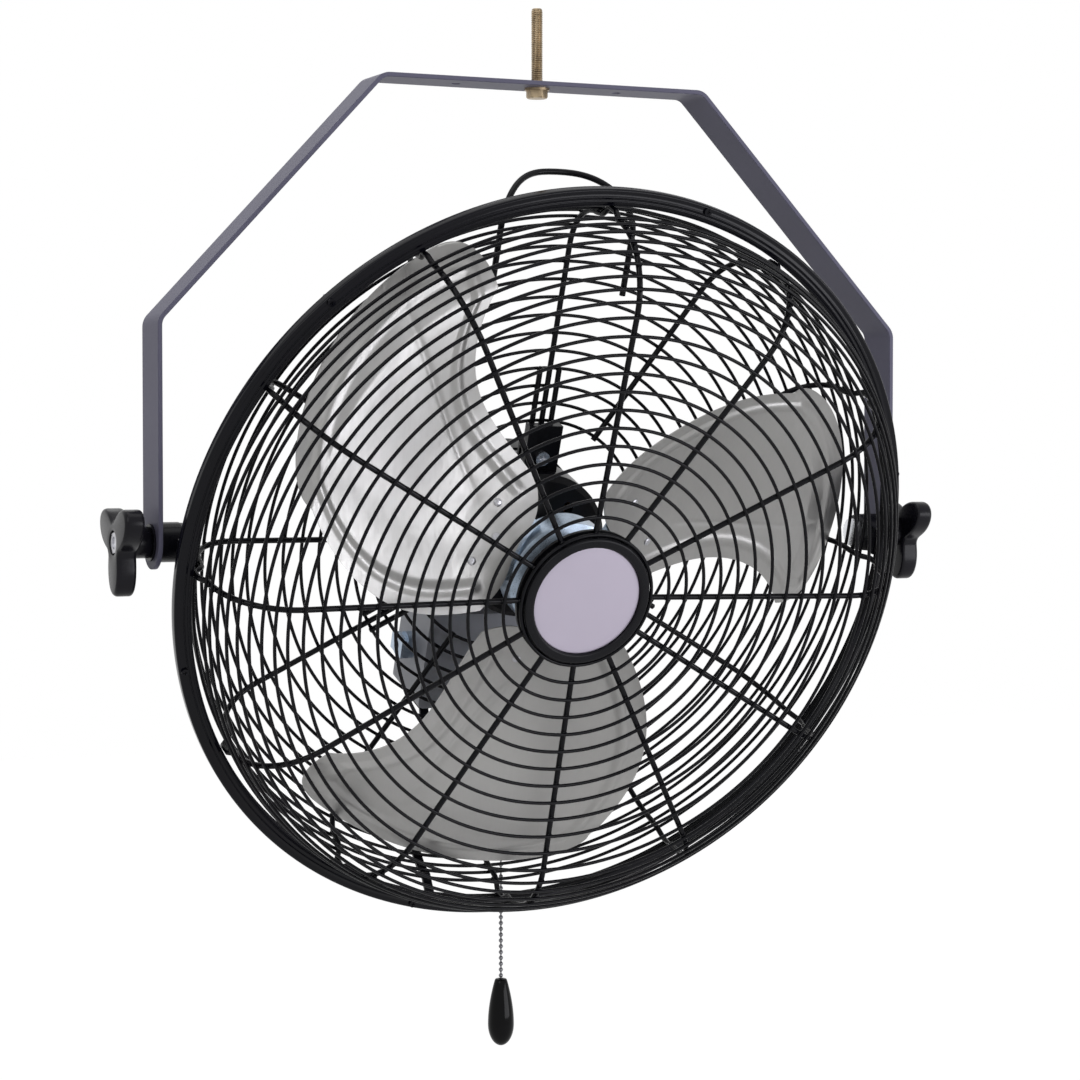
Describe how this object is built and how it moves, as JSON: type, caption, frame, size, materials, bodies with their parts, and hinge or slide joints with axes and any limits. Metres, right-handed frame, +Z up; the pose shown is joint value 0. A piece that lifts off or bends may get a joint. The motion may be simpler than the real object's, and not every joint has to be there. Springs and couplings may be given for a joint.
{
  "type": "industrial wall fan",
  "caption": "Caged fan head clamped between the legs of a bent flat-bar yoke, with wire guards, pressed metal blades, a pull chain switch box and a rear carry handle.",
  "frame": {"origin": "centre of the yoke's top face, between the two mounting holes", "axes": "+X to the right seen from the front, -Y the way the fan blows, +Z up"},
  "size_m": [0.5972, 0.2892, 0.7327],
  "materials": {
    "yoke_paint": "satin",
    "bolt_zinc": "satin",
    "knob_plastic": "satin",
    "nut_steel": "satin",
    "black_steel": "satin",
    "bright_steel": "bright",
    "rim_gloss": "gloss",
    "wire_gloss": "gloss",
    "cap_plastic": "satin",
    "badge_face": "satin",
    "motor_cast": "satin",
    "core_steel": "dull",
    "winding_copper": "satin",
    "hub_zinc": "satin",
    "blade_alu": "satin",
    "box_grey": "satin",
    "inner_plastic": "matte",
    "capacitor_case": "matte",
    "chain_steel": "dark nickel",
    "pull_gloss": "gloss"
  },
  "bodies": {
    "mount_frame": {"yoke": "yoke_paint", "hanger_bolt": "bolt_zinc", "hanger_washer": "bolt_zinc"},
    "head": {"knob_washers": "black_steel", "spacers": "black_steel", "pivot_bolts": "bright_steel", "ear_left": "black_steel", "ear_right": "black_steel", "rim_ring": "rim_gloss", "rim_screws": "rim_gloss", "rim_nuts": "nut_steel", "front_rings": "wire_gloss", "front_spokes": "wire_gloss", "hub_plate": "cap_plastic", "hub_cap": "cap_plastic", "badge_disc": "badge_face", "cap_screw": "nut_steel", "rear_rings": "wire_gloss", "rear_spokes": "wire_gloss", "mount_bars": "wire_gloss", "carry_handle": "wire_gloss", "front_bell": "motor_cast", "stator_core": "core_steel", "windings": "winding_copper", "rear_bell": "motor_cast", "motor_bolts": "nut_steel", "bearing_front": "bright_steel", "bearing_rear": "bright_steel", "mount_screws": "bright_steel", "mount_clamps": "black_steel", "box_nipple": "knob_plastic", "switch_box": "box_grey", "box_cover": "box_grey", "box_screws": "nut_steel", "capacitor": "capacitor_case", "pull_switch": "inner_plastic", "switch_nozzle": "hub_zinc", "cable_connector": "hub_zinc", "support_strut": "black_steel"},
    "spinner": {"shaft": "bright_steel", "rotor": "core_steel", "blade_hub": "hub_zinc", "hub_arms": "hub_zinc", "shaft_nut": "nut_steel", "blade_1": "blade_alu", "blade_2": "blade_alu", "blade_3": "blade_alu", "rivets": "blade_alu"},
    "left_knob": {"knob_left": "knob_plastic", "knob_nut_left": "nut_steel"},
    "right_knob": {"knob_right": "knob_plastic", "knob_nut_right": "nut_steel"},
    "switch_stem": {"pull_stem": "chain_steel"},
    "chain": {"pull_chain": "chain_steel", "chain_pull": "pull_gloss"}
  },
  "joints": [
    {"name": "head_tilt", "type": "hinge", "parent": "mount_frame", "child": "head", "pos_m": [0, 0, -0.308], "axis": [1, 0, 0], "range_deg": [-111, 69]},
    {"name": "fan_spin", "type": "hinge", "parent": "head", "child": "spinner", "pos_m": [0, 0.00323, -0.3164], "axis": [0, -0.9336, -0.3584], "continuous": true},
    {"name": "left_knob_turn", "type": "hinge", "parent": "head", "child": "left_knob", "pos_m": [-0.29, 0, -0.308], "axis": [-1, 0, 0], "range_deg": [0, 360]},
    {"name": "right_knob_turn", "type": "hinge", "parent": "head", "child": "right_knob", "pos_m": [0.29, 0, -0.308], "axis": [1, 0, 0], "range_deg": [0, 360]},
    {"name": "switch_pull", "type": "slide", "parent": "head", "child": "switch_stem", "axis": [0, 0.3584, -0.9336], "range_m": [0, 0.01], "stiffness_N_per_m": 400, "springref_m": -0.005},
    {"name": "chain_swing", "type": "hinge", "parent": "switch_stem", "child": "chain", "pos_m": [0.021, 0.10934, -0.43099], "axis": [1, 0, 0], "range_deg": [-1, 90]}
  ]
}
